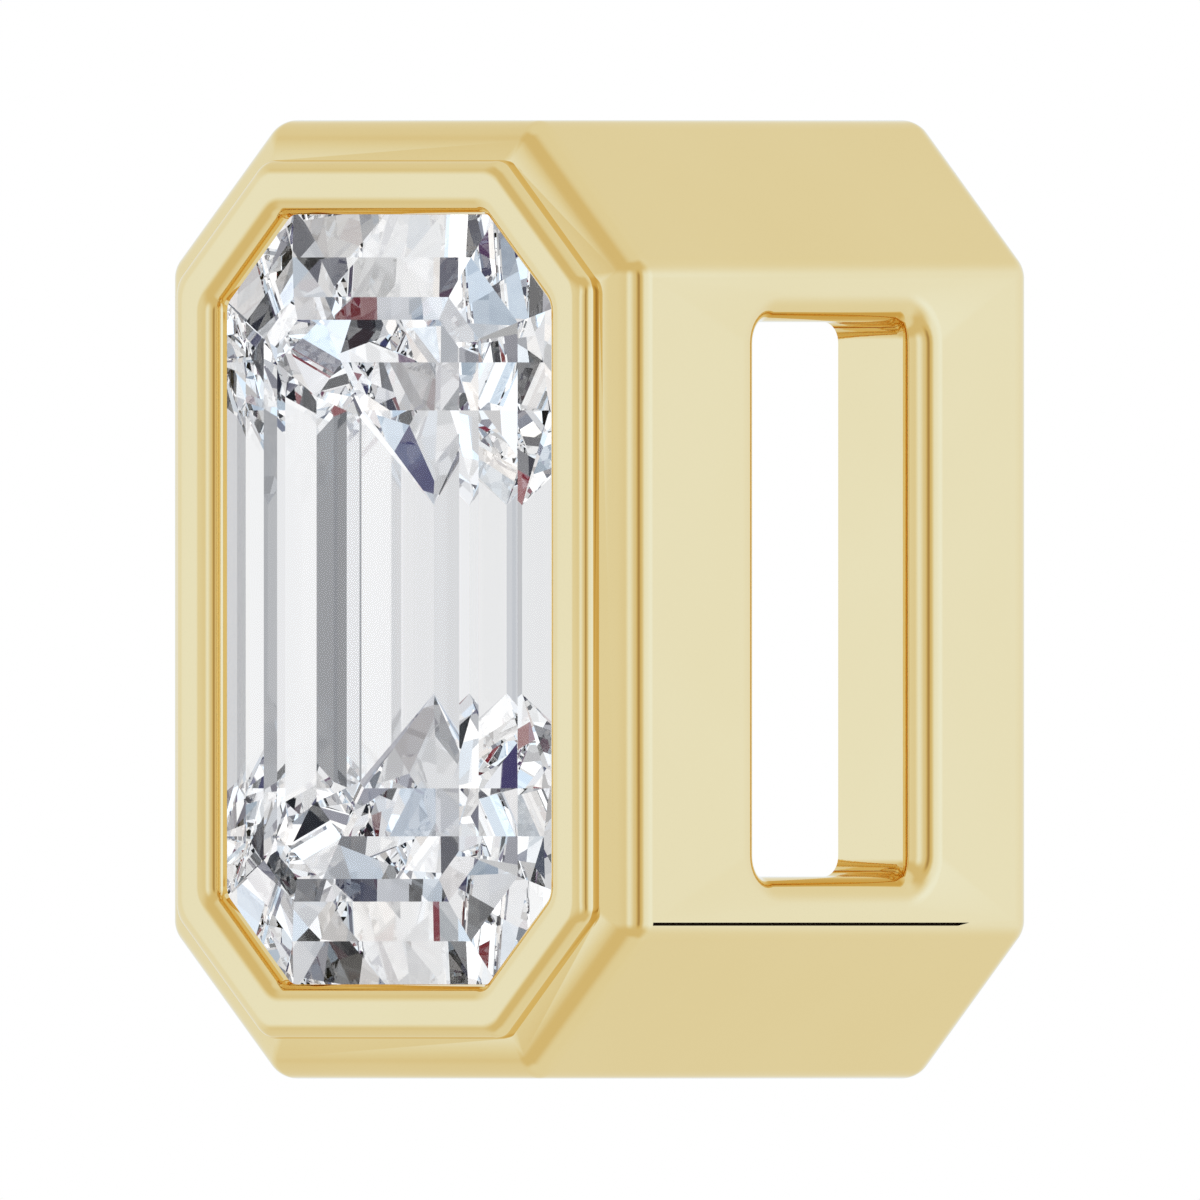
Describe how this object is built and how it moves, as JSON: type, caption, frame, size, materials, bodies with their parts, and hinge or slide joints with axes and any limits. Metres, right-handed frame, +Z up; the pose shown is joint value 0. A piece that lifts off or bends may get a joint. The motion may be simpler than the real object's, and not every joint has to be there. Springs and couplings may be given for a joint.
{
  "type": "slide pendant",
  "caption": "Octagonal slide pendant: an emerald-cut clear stone in a stepped gold bezel on an open-backed tunnel body with a chain slot through each side wall.",
  "frame": {"origin": "centre of the part's box at its lowest level, the lower flat that it stands on", "axes": "+Z up along the stone's length, -Y out of the front, +X to the wearer's left along the chain"},
  "size_m": [0.004, 0.004, 0.006],
  "materials": {
    "gold": "polished yellow gold",
    "clear_stone": "faceted, polished, clear"
  },
  "bodies": {
    "root": {"setting": "gold", "stone": "clear_stone"}
  },
  "joints": []
}
